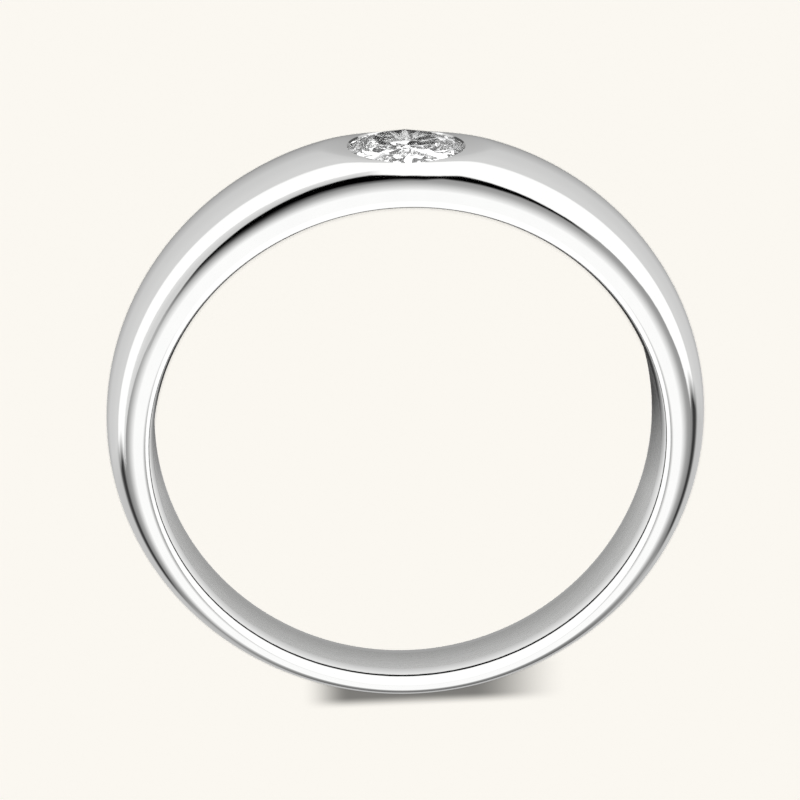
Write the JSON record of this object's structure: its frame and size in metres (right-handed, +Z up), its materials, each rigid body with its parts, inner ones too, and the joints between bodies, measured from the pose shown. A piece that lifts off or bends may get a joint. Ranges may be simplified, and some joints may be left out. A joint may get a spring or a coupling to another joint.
{
  "type": "flush set gypsy ring",
  "caption": "Polished tapered band, wide and thick at the head, with a round brilliant sunk level with the metal.",
  "frame": {"origin": "middle of the ring's footprint, on the surface that it lies on", "axes": "+Z up from that surface, -Y from the back of the band towards the stone, X across; the finger hole's axis leans 4.1 degrees from +Z towards +Y"},
  "size_m": [0.0204, 0.02, 0.0055],
  "materials": {
    "white_gold": "high polish",
    "clear_stone": "faceted and polished"
  },
  "bodies": {
    "root": {"ring_band": "white_gold", "round_stone": "clear_stone"}
  },
  "joints": []
}
